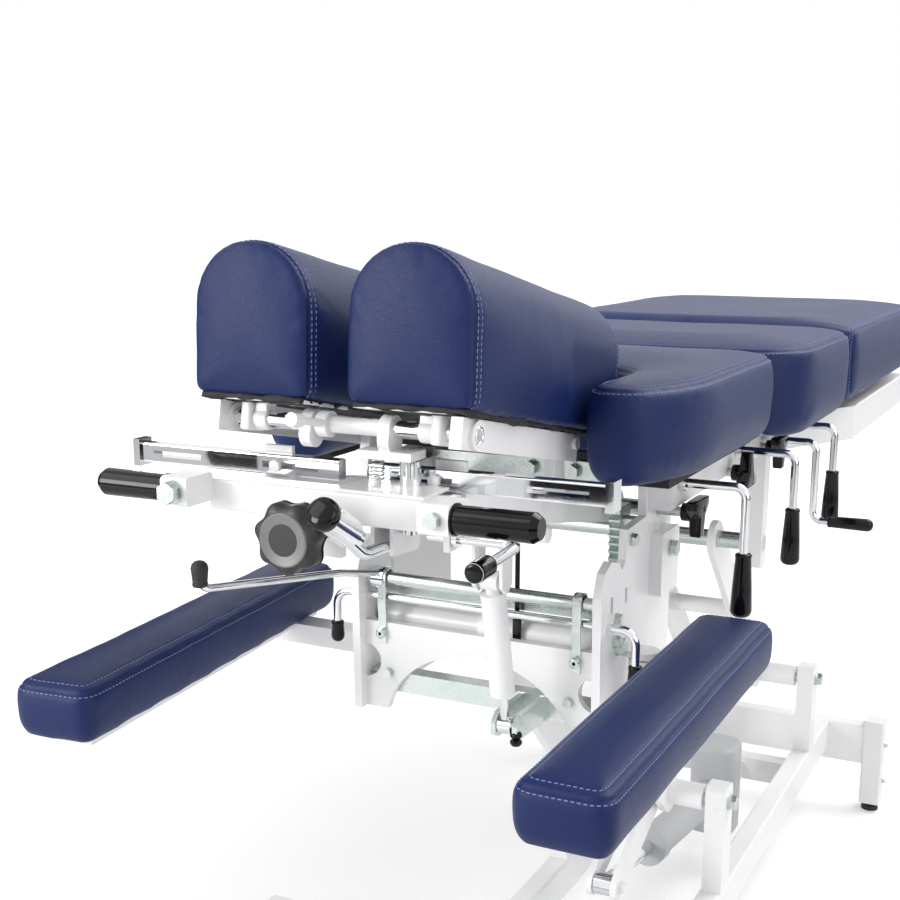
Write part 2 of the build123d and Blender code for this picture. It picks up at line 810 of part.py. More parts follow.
rail = slottedRail()
pieces["star_knob"] = starKnob()
pieces["centre_lever"] = centreLever()
pieces["left_lever"] = leftLever()
pieces["right_lever"] = rightLever()
pieces["guide_post"] = guidePost()
pieces["drop_spring"] = dropSpring()
pieces["slotted_rail_right"] = rail
pieces["slotted_rail_left"] = mirror(rail, Plane.YZ)


# Head carriage, laid out level about its pivot and then tilted
tiltPlace = Pos(0, *carriagePivot) * Rot(-carriageTilt, 0, 0)
rodU = -247.7
rodW = -5.7


def carriageFrame():
    arm = box(124, 136, -275, 10, -20, 9)
    arm += rodX(124, 136, (0, 0), 12)
    arm += rodX(122, 140, (rodU, rodW), 14)
    arm -= rodX(120, 142, (0, 0), 7 + runningGap)
    body = arm + mirror(arm, Plane.YZ)
    body += rodX(-124, 124, (rodU, rodW), 8)
    for x in (-42, 43):
        body += link(x, x + 12, (rodU, rodW), 13, (rodU, rodW - 10), 13)
    body = tiltPlace * body
    body += box(22, 79, 114, 143, 866, 874)
    body += box(43, 55, 118, 142, 872, 884)
    return body


def headCushion():
    """Arched cushion along the carriage with drawn-in ends; its front end leans forward."""
    layers = ((0, 5), (6, 1), (14, 0), (366, 0), (374, 2), (380, 7))
    sections = []
    for along, inset in layers:
        half = 65 - inset
        low = carriageBottomW + inset * 0.5
        shoulder = carriageBottomW + 84
        edges = [
            Line((-half + 6, 0, low), (half - 6, 0, low)),
            ThreePointArc((half - 6, 0, low), (half - 1.8, 0, low + 1.8), (half, 0, low + 6)),
            Line((half, 0, low + 6), (half, 0, shoulder)),
            ThreePointArc((half, 0, shoulder), (half * 0.707, 0, shoulder + 0.707 * (62 - inset)),
                          (0, 0, shoulder + 62 - inset)),
            ThreePointArc((0, 0, shoulder + 62 - inset), (-half * 0.707, 0, shoulder + 0.707 * (62 - inset)),
                          (-half, 0, shoulder)),
            Line((-half, 0, shoulder), (-half, 0, low + 6)),
            ThreePointArc((-half, 0, low + 6), (-half + 1.8, 0, low + 1.8), (-half + 6, 0, low)),
        ]
        lean = cushionLean if along < 100 else 0
        foot = Pos(84.5, -288 + along, carriageBottomW) * Rot(lean, 0, 0)
        sections.append(foot * Pos(0, 0, -carriageBottomW) * make_face(edges))
    return tiltPlace * loft(sections, ruled=True)


def headSlide():
    """Sleeves on the cross rod with a plate under the cushion."""
    body = rodX(58, 90, (rodU, rodW), 13)
    body += box(26, 119, -280, -200, carriageBottomW - 4, carriageBottomW)
    body += box(60, 88, rodU - 9, rodU + 9, 0, carriageBottomW - 2)
    body -= rodX(20, 120, (rodU, rodW), 8 + runningGap)
    return tiltPlace * body


def pinLever():
    ring = rodX(-26, -14, (rodU, rodW), 12.5)
    stem = rod((-20, rodU - 11, rodW), (-20, rodU - 50, rodW), 4)
    ball = rod((-20, rodU - 46, rodW), (-20, rodU - 62, rodW), 6.5)
    return tiltPlace * (ring + stem + ball - rodX(-30, -10, (rodU, rodW), 8 + runningGap))


pieces["carriage_frame"] = carriageFrame()
cushion = headCushion()
slide = headSlide()
pieces["head_cushion_right"] = cushion
pieces["head_cushion_left"] = mirror(cushion, Plane.YZ)
pieces["head_slide_right"] = slide
pieces["head_slide_left"] = mirror(slide, Plane.YZ)
pieces["pin_lever"] = pinLever()


# Gas spring between the clevis and the head frame
gasLow = (68, 355, 527)
gasHigh = (68, 315, 705)
gasRun = Vector(*gasHigh) - Vector(*gasLow)


def alongGas(s):
    return tuple(Vector(*gasLow) + gasRun.normalized() * s)


def gasRod():
    body = rodX(61, 77, gasLow[1:], 10) + rod(alongGas(0), alongGas(130), 5)
    return body - rodX(60, 80, gasLow[1:], 5 + runningGap)


def gasCylinder():
    body = rod(alongGas(42), alongGas(168), 14) + rod(alongGas(160), alongGas(gasRun.length), 8)
    body += rodX(58, 78, gasHigh[1:], 11)
    return body - rod(alongGas(41), alongGas(152), 5 + runningGap)


pieces["gas_spring_rod"] = gasRod()
pieces["gas_spring_cylinder"] = gasCylinder()

os.makedirs("parts", exist_ok=True)
for name, piece in pieces.items():
    save(name, piece)
print("pieces written:", len(pieces))
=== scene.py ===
import bpy
import bmesh
import json
import math
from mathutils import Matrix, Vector, noise
from mathutils.bvhtree import BVHTree
from mathutils.kdtree import KDTree

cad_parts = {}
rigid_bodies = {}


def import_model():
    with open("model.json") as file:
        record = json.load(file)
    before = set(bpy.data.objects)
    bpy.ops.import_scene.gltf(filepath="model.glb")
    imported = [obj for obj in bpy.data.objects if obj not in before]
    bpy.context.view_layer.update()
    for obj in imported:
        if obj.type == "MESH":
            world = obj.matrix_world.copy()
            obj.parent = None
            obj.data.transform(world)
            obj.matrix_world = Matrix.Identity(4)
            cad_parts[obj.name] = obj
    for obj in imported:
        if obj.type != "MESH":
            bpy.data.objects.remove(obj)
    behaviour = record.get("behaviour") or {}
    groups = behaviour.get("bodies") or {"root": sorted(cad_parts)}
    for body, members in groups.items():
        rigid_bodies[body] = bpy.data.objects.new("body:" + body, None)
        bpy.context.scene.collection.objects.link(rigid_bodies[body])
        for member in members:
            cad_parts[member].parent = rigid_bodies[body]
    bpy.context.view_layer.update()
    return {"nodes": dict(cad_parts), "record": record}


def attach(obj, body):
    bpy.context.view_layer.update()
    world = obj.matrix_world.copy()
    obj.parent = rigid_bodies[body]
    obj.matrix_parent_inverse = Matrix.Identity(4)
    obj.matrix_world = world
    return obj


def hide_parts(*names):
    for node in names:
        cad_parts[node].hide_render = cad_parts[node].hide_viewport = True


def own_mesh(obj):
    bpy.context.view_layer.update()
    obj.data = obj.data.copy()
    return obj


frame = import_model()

nodes = frame["nodes"]
print("frame loaded:", len(nodes), "nodes")

# camera fitted to the straight edges of the photograph, in metres and degrees
cameraView = {"place": (0.66462, -1.85781, 1.085), "turn": 26.64, "down": 12.84, "lens": 53.76, "shiftUp": 0.08}

studio = {
    "floorSize": 60.0,
    "cameraGlowPaintedShadeNear": (0.20, 0.60),    # the floor's glow for the camera only, near the table and far from it: full far away for a white backdrop, weaker near as a painted shade round the table
    "paintedShadeReach": (0.9, 3.4),
    "worldLevel": 0.60,
    "key": {"place": (-2.4, -2.6, 3.4), "size": 2.6, "power": 40},
    "top": {"place": (1.5, 1.7, 3.4), "size": 2.2, "power": 84},
    "side": {"place": (3.9, -1.6, 1.9), "size": 2.4, "power": 36},
    "front": {"place": (-2.1, -3.5, 1.45), "size": 1.4, "power": 72},
    "cards": (
        ((-2.6, 0.6, 0.9), (0.1, 3.0, 1.5)),
        ((1.9, -2.9, 0.55), (1.6, 0.1, 0.9)),
        ((3.6, 1.6, 0.8), (0.1, 2.4, 1.2)),
    ),
    "aim": (0, -0.2, 0.75),
}


# small helpers for modelling with Blender's own tools

def selectNone():
    for thing in bpy.context.view_layer.objects:
        thing.select_set(False)


def take(thing):
    selectNone()
    thing.select_set(True)
    bpy.context.view_layer.objects.active = thing


def finishShape(thing, name, smoothAngle=32):
    take(thing)
    thing.name = name
    thing.data.name = name
    bpy.ops.object.transform_apply(location=True, rotation=True, scale=True)
    bpy.ops.object.mode_set(mode="EDIT")
    bpy.ops.mesh.select_all(action="SELECT")
    bpy.ops.mesh.remove_doubles(threshold=0.00002)
    bpy.ops.mesh.normals_make_consistent(inside=False)
    bpy.ops.object.mode_set(mode="OBJECT")
    bpy.ops.object.shade_smooth_by_angle(angle=math.radians(smoothAngle))


def paintWith(thing, material):
    thing.data.materials.clear()
    thing.data.materials.append(material)


def dress(thing, name, material, body, slot, smoothAngle=40):
    # finish a piece, paint it and let it ride on its body
    finishShape(thing, name, smoothAngle)
    paintWith(thing, material)
    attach(thing, body)


def clearPicks(kind):
    # nothing is selected, and what is picked next is of this kind: VERT, EDGE or FACE
    bpy.ops.object.mode_set(mode="EDIT")
    bpy.ops.mesh.select_mode(type=kind)
    bpy.ops.mesh.select_all(action="DESELECT")
    bpy.ops.object.mode_set(mode="OBJECT")


def pickFaces(thing, isPicked):
    clearPicks("FACE")
    for face in thing.data.polygons:
        face.select = isPicked(face)


def drawOut(move, sizes, middle):
    # extrude the picked faces and resize the new end about a point
    bpy.ops.object.mode_set(mode="EDIT")
    bpy.ops.mesh.extrude_region_move(TRANSFORM_OT_translate={"value": move})
    bpy.ops.transform.resize(value=sizes, center_override=middle)
    bpy.ops.object.mode_set(mode="OBJECT")


def addModifier(thing, kind, **values):
    take(thing)
    modifier = thing.modifiers.new(kind.title(), kind)
    for key, value in values.items():
        setattr(modifier, key, value)
    bpy.ops.object.modifier_apply(modifier=modifier.name)


# shader groups shared by the materials

def newGroup(name, inputs, outputs):
    group = bpy.data.node_groups.new(name, "ShaderNodeTree")
    for label, kind, value in inputs:
        socket = group.interface.new_socket(name=label, in_out="INPUT", socket_type=kind)
        socket.default_value = value
    for label, kind in outputs:
        group.interface.new_socket(name=label, in_out="OUTPUT", socket_type=kind)
    start = group.nodes.new("NodeGroupInput")
    end = group.nodes.new("NodeGroupOutput")
    return group, start, end


def addNode(tree, kind, links=(), **values):
    node = tree.nodes.new(kind)
    for key, value in values.items():
        if hasattr(node, key):
            setattr(node, key, value)
        else:
            node.inputs[key.replace("_", " ")].default_value = value
    for socket, source in links:
        tree.links.new(source, node.inputs[socket])
    return node


def buildGrain():
    group, start, end = newGroup(
        "leatherGrain",
        [("Vector", "NodeSocketVector", (0, 0, 0)), ("Scale", "NodeSocketFloat", 700.0)],
        [("Height", "NodeSocketFloat")],
    )
    place = start.outputs["Vector"]
    warp = addNode(group, "ShaderNodeTexNoise", [("Vector", place)], Scale=180.0, Detail=2.0)
    bend = addNode(group, "ShaderNodeVectorMath", [(0, warp.outputs["Color"])], operation="SCALE")
    bend.inputs["Scale"].default_value = 0.0022
    moved = addNode(group, "ShaderNodeVectorMath", [(0, place), (1, bend.outputs[0])], operation="ADD")
    cells = addNode(
        group, "ShaderNodeTexVoronoi",
        [("Vector", moved.outputs[0]), ("Scale", start.outputs["Scale"])], feature="DISTANCE_TO_EDGE",
    )
    crease = addNode(group, "ShaderNodeMapRange", [("Value", cells.outputs["Distance"])])
    crease.inputs["From Max"].default_value = 0.16
    fine = addNode(group, "ShaderNodeTexNoise", [("Vector", place)], Scale=2600.0, Detail=2.0)
    share = addNode(group, "ShaderNodeMath", [(0, fine.outputs["Fac"])], operation="MULTIPLY")
    share.inputs[1].default_value = 0.35
    total = addNode(
        group, "ShaderNodeMath", [(0, crease.outputs["Result"]), (1, share.outputs[0])], operation="ADD",
    )
    group.links.new(total.outputs[0], end.inputs["Height"])
    return group


def buildMottle():
    group, start, end = newGroup(
        "handledMottle",
        [
            ("Vector", "NodeSocketVector", (0, 0, 0)),
            ("Broad", "NodeSocketFloat", 7.0), ("Fine", "NodeSocketFloat", 90.0),
        ],
        [("Broad", "NodeSocketFloat"), ("Fine", "NodeSocketFloat")],
    )
    for label, detail in (("Broad", 3.0), ("Fine", 5.0)):
        mottle = addNode(
            group, "ShaderNodeTexNoise",
            [("Vector", start.outputs["Vector"]), ("Scale", start.outputs[label])], Detail=detail,
        )
        group.links.new(mottle.outputs["Fac"], end.inputs[label])
    return group


grainGroup = buildGrain()
mottleGroup = buildMottle()


def startMaterial(name, broad=7.0, fine=90.0):
    material = bpy.data.materials.new(name)
    material.use_nodes = True
    tree = material.node_tree
    shader = tree.nodes["Principled BSDF"]
    place = tree.nodes.new("ShaderNodeTexCoord")
    mottle = tree.nodes.new("ShaderNodeGroup")
    mottle.node_tree = mottleGroup
    mottle.inputs["Broad"].default_value = broad
    mottle.inputs["Fine"].default_value = fine
    tree.links.new(place.outputs["Object"], mottle.inputs["Vector"])
    return material, tree, shader, mottle


def colourBetween(tree, shader, source, low, high):
    mix = addNode(tree, "ShaderNodeMix", [("Factor", source)], data_type="RGBA")
    mix.inputs[6].default_value = (*low, 1)
    mix.inputs[7].default_value = (*high, 1)
    tree.links.new(mix.outputs[2], shader.inputs["Base Color"])


def roughBetween(tree, shader, source, low, high):
    spread = addNode(tree, "ShaderNodeMapRange", [("Value", source)])
    spread.inputs["From Min"].default_value = 0.3
    spread.inputs["From Max"].default_value = 0.7
    spread.inputs["To Min"].default_value = low
    spread.inputs["To Max"].default_value = high
    tree.links.new(spread.outputs["Result"], shader.inputs["Roughness"])


def bumpFrom(tree, shader, source, strength, distance):
    bump = addNode(tree, "ShaderNodeBump", [("Height", source)])
    bump.inputs["Strength"].default_value = strength
    bump.inputs["Distance"].default_value = distance
    tree.links.new(bump.outputs["Normal"], shader.inputs["Normal"])


def makeVinyl():
    material, tree, shader, mottle = startMaterial("navyVinyl", broad=9.0, fine=420.0)
    place = tree.nodes.new("ShaderNodeTexCoord")
    grain = tree.nodes.new("ShaderNodeGroup")
    grain.node_tree = grainGroup
    grain.inputs["Scale"].default_value = 620.0
    tree.links.new(place.outputs["Object"], grain.inputs["Vector"])
    colourBetween(tree, shader, mottle.outputs["Broad"], (0.0055, 0.0150, 0.078), (0.0085, 0.0210, 0.102))
    roughBetween(tree, shader, mottle.outputs["Fine"], 0.36, 0.46)
    bumpFrom(tree, shader, grain.outputs["Height"], 0.34, 0.00028)
    shader.inputs["Coat Weight"].default_value = 0.03
    shader.inputs["Coat Roughness"].default_value = 0.3
    shader.inputs["Specular IOR Level"].default_value = 0.22
    return material


def makeThread():
    material, tree, shader, mottle = startMaterial("blueThread", broad=60.0, fine=3000.0)
    colourBetween(tree, shader, mottle.outputs["Fine"], (0.10, 0.13, 0.36), (0.30, 0.34, 0.62))
    roughBetween(tree, shader, mottle.outputs["Fine"], 0.55, 0.75)
    bumpFrom(tree, shader, mottle.outputs["Fine"], 0.4, 0.0002)
    return material


def makePaint():
    material, tree, shader, mottle = startMaterial("whitePowderCoat", broad=5.0, fine=1500.0)
    colourBetween(tree, shader, mottle.outputs["Broad"], (0.82, 0.82, 0.825), (0.88, 0.88, 0.885))
    roughBetween(tree, shader, mottle.outputs["Broad"], 0.26, 0.36)
    bumpFrom(tree, shader, mottle.outputs["Fine"], 0.12, 0.0002)
    shader.inputs["Coat Weight"].default_value = 0.25
    shader.inputs["Coat Roughness"].default_value = 0.18
    return material


def makeChrome():
    material, tree, shader, mottle = startMaterial("polishedChrome", broad=35.0, fine=700.0)
    colourBetween(tree, shader, mottle.outputs["Broad"], (0.74, 0.75, 0.77), (0.86, 0.87, 0.88))
    roughBetween(tree, shader, mottle.outputs["Fine"], 0.05, 0.12)
    bumpFrom(tree, shader, mottle.outputs["Broad"], 0.05, 0.0006)
    shader.inputs["Metallic"].default_value = 1.0
    return material


def makeZinc():
    material, tree, shader, mottle = startMaterial("zincPlate", broad=28.0, fine=900.0)
    colourBetween(tree, shader, mottle.outputs["Broad"], (0.50, 0.60, 0.60), (0.70, 0.70, 0.66))
    roughBetween(tree, shader, mottle.outputs["Fine"], 0.22, 0.36)
    bumpFrom(tree, shader, mottle.outputs["Fine"], 0.12, 0.0002)
    shader.inputs["Metallic"].default_value = 1.0
    return material


def makePlastic(name, low, high, roughLow, roughHigh, bump, specular=0.5):
    material, tree, shader, mottle = startMaterial(name, broad=14.0, fine=1300.0)
    colourBetween(tree, shader, mottle.outputs["Broad"], low, high)
    roughBetween(tree, shader, mottle.outputs["Fine"], roughLow, roughHigh)
    bumpFrom(tree, shader, mottle.outputs["Fine"], bump, 0.0003)
    shader.inputs["Specular IOR Level"].default_value = specular
    return material


vinyl = makeVinyl()
thread = makeThread()
paint = makePaint()
chrome = makeChrome()
zinc = makeZinc()
blackGloss = makePlastic(
    "blackGripPlastic", (0.002, 0.002, 0.0025), (0.005, 0.005, 0.006), 0.07, 0.13, 0.02, specular=0.28,
)
knobFace = makePlastic("greyKnobFace", (0.14, 0.14, 0.145), (0.24, 0.235, 0.22), 0.3, 0.45, 0.25)
knobGrey = makePlastic("darkKnobPlastic", (0.014, 0.013, 0.015), (0.026, 0.024, 0.028), 0.36, 0.5, 0.25)
motorGrey = makePlastic("greyMotorPlastic", (0.42, 0.43, 0.45), (0.5, 0.51, 0.52), 0.38, 0.5, 0.2)
dustCover = makePlastic("blackDustCover", (0.006, 0.006, 0.007), (0.016, 0.016, 0.018), 0.6, 0.8, 0.6)
rubber = makePlastic("blackRubber", (0.012, 0.012, 0.012), (0.03, 0.03, 0.03), 0.6, 0.75, 0.3)
print("materials made")

slotMaterials = {
    "white_paint": paint, "chrome": chrome, "zinc": zinc, "navy_vinyl": vinyl, "black_plastic": blackGloss,
    "dark_grey_plastic": knobGrey, "grey_plastic": motorGrey, "black_board": dustCover, "rubber": rubber,
}
for part in frame["record"]["subparts"]:
    body = nodes[part["node"]]
    material = slotMaterials[part["material_slot"]]
    for place in range(len(body.material_slots)):
        body.material_slots[place].material = material
    if not body.material_slots:
        body.data.materials.append(material)


# cushions: each starts from its solid, is remeshed, blown up as cloth and then sewn

# the shared frame's origin as part.py's table measures have it, in millimetres
origin = {"side": 14.62, "station": 912.81}


def at(side, station, height):
    return Vector(((side + origin["side"]) / 1000, (station - origin["station"]) / 1000, height / 1000))


def asideOf(place):
    # metres from the table's middle plane
    return abs(place.x - origin["side"] / 1000)


def stationOf(place):
    return place.y + origin["station"] / 1000


def emptyLike(node, name):
    pad = bpy.data.objects.new(name, nodes[node].data.copy())
    bpy.context.scene.collection.objects.link(pad)
    take(pad)
    bpy.ops.object.mode_set(mode="EDIT")
    bpy.ops.mesh.select_all(action="SELECT")
    bpy.ops.mesh.remove_doubles(threshold=0.00005)
    bpy.ops.mesh.normals_make_consistent(inside=False)
    bpy.ops.object.mode_set(mode="OBJECT")
    return pad


def fullRoom(place):
    return 1.0


def easeBetween(value, low, high):
    share = min(1.0, max(0.0, (value - low) / (high - low)))
    return share * share * (3 - 2 * share)


clothSteps = 20
vinylCloth = {
    "quality": 4, "mass": 0.25, "tension_stiffness": 22, "compression_stiffness": 12, "bending_stiffness": 0.4,
    "use_pressure": True,
}


def blowUp(pad, values, isPinned, room=fullRoom):
    # round the solid off and let it swell as cloth, held where it is pinned and by no more than its cap
    addModifier(pad, "REMESH", mode="VOXEL", voxel_size=values["voxel"])
    addModifier(pad, "SMOOTH", factor=0.5, iterations=values["rounding"])
    held = pad.vertex_groups.new(name="held")
    held.add([v.index for v in pad.data.vertices if isPinned(v.co)], 1.0, "REPLACE")
    rest = [v.co.copy() for v in pad.data.vertices]
    take(pad)
    cloth = pad.modifiers.new("Cloth", "CLOTH")
    for key, value in vinylCloth.items():
        setattr(cloth.settings, key, value)
    cloth.settings.vertex_group_mass = "held"
    cloth.settings.uniform_pressure_force = values["pressure"]
    cloth.settings.effector_weights.gravity = 0
    cloth.collision_settings.use_collision = False
    cloth.point_cache.frame_start = 1
    cloth.point_cache.frame_end = clothSteps
    for step in range(1, clothSteps + 1):
        bpy.context.scene.frame_set(step)
    bpy.ops.object.modifier_apply(modifier=cloth.name)
    for vertex, place in zip(pad.data.vertices, rest):
        move = vertex.co - place
        cap = values["cap"] * room(place)
        if move.length > cap:
            vertex.co = place + move * (cap / move.length)
    bpy.context.scene.frame_set(1)
    pad.vertex_groups.clear()
    addModifier(pad, "SMOOTH", factor=0.5, iterations=2)


def seamLoop(pad, point, normal):
    # cut the cover along a plane and give back the loop in order
    shape = bmesh.new()
    shape.from_mesh(pad.data)
    cut = bmesh.ops.bisect_plane(
        shape, geom=shape.verts[:] + shape.edges[:] + shape.faces[:],
        plane_co=point, plane_no=normal, dist=0.00001,
    )
    edges = [thing for thing in cut["geom_cut"] if isinstance(thing, bmesh.types.BMEdge)]
    linked = {}
    for edge in edges:
        for a, b in (edge.verts, reversed(edge.verts)):
            linked.setdefault(a, []).append(b)
    start = edges[0].verts[0]
    loop = [start]
    seen = {start}
    while True:
        onward = [v for v in linked[loop[-1]] if v not in seen]
        if not onward:
            break
        loop.append(onward[0])
        seen.add(onward[0])
    points = [v.co.copy() for v in loop]
    shape.to_mesh(pad.data)
    shape.free()
    return points


def evenly(points, gap):
    # the closed loop again, with its points a fixed gap apart
    lengths = [0.0]
    closed = points + [points[0]]
    for a, b in zip(closed, closed[1:]):
        lengths.append(lengths[-1] + (b - a).length)
    count = max(8, round(lengths[-1] / gap))
    out = []
    place = 0
    for step in range(count):
        target = lengths[-1] * step / count
        while lengths[place + 1] < target:
            place += 1
        share = (target - lengths[place]) / max(1e-9, lengths[place + 1] - lengths[place])
        out.append(closed[place].lerp(closed[place + 1], share))
    for _ in range(2):
        out = [(out[i - 1] + out[i] * 2 + out[(i + 1) % count]) / 4 for i in range(count)]
    return out


def cutSeam(pad, point, normal, shifts, gap):
    # the seam's loop with even points, after a cut on each side of it that the groove's edges follow
    loop = seamLoop(pad, point, normal)
    for shift in shifts:
        seamLoop(pad, point + normal * shift, normal)
    return evenly(loop, gap)


sliver = 0.0006


def pressLine(pad, lines):
    # merge slivers, then sink the cover along each line: points, depth and width in metres
    shape = bmesh.new()
    shape.from_mesh(pad.data)
    bmesh.ops.remove_doubles(shape, verts=shape.verts[:], dist=sliver)
    shape.to_mesh(pad.data)
    shape.free()
    for points, depth, width in lines:
        tree = KDTree(len(points))
        for number, point in enumerate(points):
            tree.insert(point, number)
        tree.balance()
        normals = [v.normal.copy() for v in pad.data.vertices]
        for vertex in pad.data.vertices:
            found = tree.find(vertex.co)[2]
            if found < width * 3:
                vertex.co -= normals[vertex.index] * depth * math.exp(-(found / width) ** 2)
        pad.data.update()


def onCover(pad, points, lift):
    shape = bmesh.new()
    shape.from_mesh(pad.data)
    tree = BVHTree.FromBMesh(shape)
    shape.free()
    out = []
    for point in points:
        place, normal = tree.find_nearest(point)[:2]
        out.append(place + normal * lift)
    return out


def lineCurve(name, points):
    data = bpy.data.curves.new(name, "CURVE")
    data.dimensions = "3D"
    spline = data.splines.new("POLY")
    spline.points.add(len(points) - 1)
    for slot, point in zip(spline.points, points):
        slot.co = (*point, 1)
    spline.use_cyclic_u = True
    curve = bpy.data.objects.new(name, data)
    bpy.context.scene.collection.objects.link(curve)
    return curve


stitching = {"long": 0.0036, "thick": 0.00056, "pitch": 0.0056, "rise": 0.00022, "gap": 0.003}


def oneStitch(name):
    selectNone()
    bpy.ops.mesh.primitive_cylinder_add(
        vertices=6, radius=stitching["thick"], depth=stitching["long"] * 0.6, rotation=(0, math.pi / 2, 0),
        location=(stitching["long"] / 2, 0, 0),
    )
    piece = bpy.context.object
    bpy.ops.object.transform_apply(location=True, rotation=True, scale=True)
    for way in (-1, 1):
        pickFaces(piece, lambda face: face.normal.x * way > 0.9)
        drawOut(
            (way * stitching["long"] * 0.2, 0, 0), (1, 0.45, 0.45),
            (stitching["long"] * (0.5 + way * 0.5), 0, 0),
        )
    piece.name = name
    return piece


def stitchRow(name, pad, line, body):
    points = evenly(onCover(pad, line, stitching["rise"]), stitching["gap"])
    row = oneStitch(name)
    track = lineCurve(name + "Track", points)
    array = row.modifiers.new("Array", "ARRAY")
    array.fit_type = "FIT_CURVE"
    array.curve = track
    array.use_relative_offset = False
    array.use_constant_offset = True
    array.constant_offset_displace = (stitching["pitch"], 0, 0)
    bend = row.modifiers.new("Curve", "CURVE")
    bend.object = track
    bend.deform_axis = "POS_X"
    take(row)
    bpy.ops.object.modifier_apply(modifier="Array")
    bpy.ops.object.modifier_apply(modifier="Curve")
    data = track.data
    bpy.data.objects.remove(track)
    bpy.data.curves.remove(data)
    dress(row, name, thread, body, "navy_vinyl", 50)


def settle(pad, name, node, body):
    take(pad)
    bpy.ops.object.shade_smooth()
    pad.name = name
    pad.data.name = name
    paintWith(pad, vinyl)
    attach(pad, body)
    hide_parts(node)


def roughen(pad, size, depth, only=fullRoom):
    # slow unevenness of foam and hand-pulled vinyl
    normals = [v.normal.copy() for v in pad.data.vertices]
    for vertex in pad.data.vertices:
        vertex.co += normals[vertex.index] * depth * only(vertex.co) * noise.noise(vertex.co * size)
    pad.data.update()


# a groove is (depth, width), the top row of stitches lies (distance inward, rise) from the seam, "uneven" is
# the size and depth of the cover's slow unevenness, and the cloth is held "pinned" below and above the edge
bodyCushions = {
    "voxel": 0.0075, "rounding": 5, "pressure": 4.0, "cap": 0.007, "fill": 0.85, "uneven": (9.0, 0.0012),
    "edge": 0.914, "seam": 0.913, "pinned": (0.004, 0.0012), "cuts": (-0.0025, 0.0007), "gap": 0.0018,
    "groove": (0.0019, 0.0024), "topRow": (0.009, 0.004), "topGroove": (0.0007, 0.0022),
    "sideRow": 0.0045, "sideGroove": (0.0006, 0.002), "flatUpTo": 0.8175, "skirt": 0.0055,
}


def heldBelow(place, bottom, hollowHalf):
    # the stapled underside: the skirt's edge and the flat middle inside it
    inside = asideOf(place) < hollowHalf and place.z < bodyCushions["flatUpTo"]
    return inside or place.z < bottom + bodyCushions["skirt"]


def inwardOf(loop):
    # unit vectors in the plane of a level loop, pointing into it
    count = len(loop)
    area = sum(loop[i - 1].x * loop[i].y - loop[i].x * loop[i - 1].y for i in range(count))
    way = 1 if area > 0 else -1
    out = []
    for i in range(count):
        run = (loop[(i + 2) % count] - loop[i - 2]).normalized()
        out.append(Vector((-run.y, run.x, 0)) * way)
    return out


# the head cushions slide close to the walls of the chest cushion's recess, so both swell little there
nearRecess = {
    "beside": (0.164, 0.186), "behind": (0.514, 0.540), "ahead": (0.296, 0.336), "inside": (0.112, 0.136),
}


def littleWhereNone(share):
    return 0.1 + 0.9 * share


def recessRoom(place):
    beside = easeBetween(asideOf(place), *nearRecess["beside"])
    behind = easeBetween(stationOf(place), *nearRecess["behind"])
    return littleWhereNone(max(beside, behind))


def sewLevel(pad, name, node, body, values, room=fullRoom):
    # a seam round the top edge with a row of stitches above and one below it
    addModifier(pad, "SUBSURF", levels=1, render_levels=1)
    roughen(pad, *values["uneven"], room)
    seam = cutSeam(pad, Vector((0, 0, values["seam"])), Vector((0, 0, 1)), values["cuts"], values["gap"])
    inset, rise = values["topRow"]
    topLine = [p + n * inset + Vector((0, 0, rise)) for p, n in zip(seam, inwardOf(seam))]
    topLine = onCover(pad, topLine, 0)
    sideLine = onCover(pad, [p - Vector((0, 0, values["sideRow"])) for p in seam], 0)
    pressLine(pad, [
        (seam, *values["groove"]), (topLine, *values["topGroove"]), (sideLine, *values["sideGroove"]),
    ])
    settle(pad, name, node, body)
    stitchRow(name + "TopStitch", pad, topLine, body)
    stitchRow(name + "SideStitch", pad, sideLine, body)
    print("cushion made:", name)


def isBySeam(place, values):
    below, above = values["pinned"]
    return values["edge"] - below < place.z < values["edge"] + above


def bodyCushion(node, name, body, bottom, hollowHalf, room=fullRoom):
    pad = emptyLike(node, name)

    def isPinned(place):
        return isBySeam(place, bodyCushions) or heldBelow(place, bottom, hollowHalf)

    blowUp(pad, bodyCushions, isPinned, room)
    sewLevel(pad, name, node, body, bodyCushions, room)


# the leg cushion's top and front are one panel, sewn to a panel on each side
legSeams = {
    "aside": 0.271, "pinned": 0.003, "cuts": (-0.0016, 0.0016),
    "rows": (0.005, 0.010), "rowGroove": (0.0006, 0.002),
}


def legCushion(node, name, body, bottom, hollowHalf):
    values = bodyCushions
    pad = emptyLike(node, name)

    def isPinned(place):
        onSeam = abs(asideOf(place) - legSeams["aside"]) < legSeams["pinned"]
        return onSeam or heldBelow(place, bottom, hollowHalf)

    blowUp(pad, values, isPinned)
    addModifier(pad, "SUBSURF", levels=1, render_levels=1)
    roughen(pad, *values["uneven"])
    rows = []
    for side in (-1, 1):
        start = Vector((origin["side"] / 1000 + side * legSeams["aside"], 0, 0))
        seam = cutSeam(pad, start, Vector((1, 0, 0)), legSeams["cuts"], values["gap"])
        lines = [(seam, *values["groove"])]
        for inset in legSeams["rows"]:
            row = onCover(pad, [p - Vector((side * inset, 0, 0)) for p in seam], 0)
            rows.append(row)
            lines.append((row, *legSeams["rowGroove"]))
        pressLine(pad, lines)
    settle(pad, name, node, body)
    for number, row in enumerate(rows):
        stitchRow(name + "Stitch%d" % number, pad, row, body)
    print("cushion made:", name)


bodyCushion("cushion_chest", "chestCushion", "section_chest", 0.812, 0.0, recessRoom)
bodyCushion("cushion_pelvic", "pelvicCushion", "section_pelvic", 0.797, 0.228)
legCushion("cushion_leg", "legCushion", "section_leg", 0.797, 0.258)


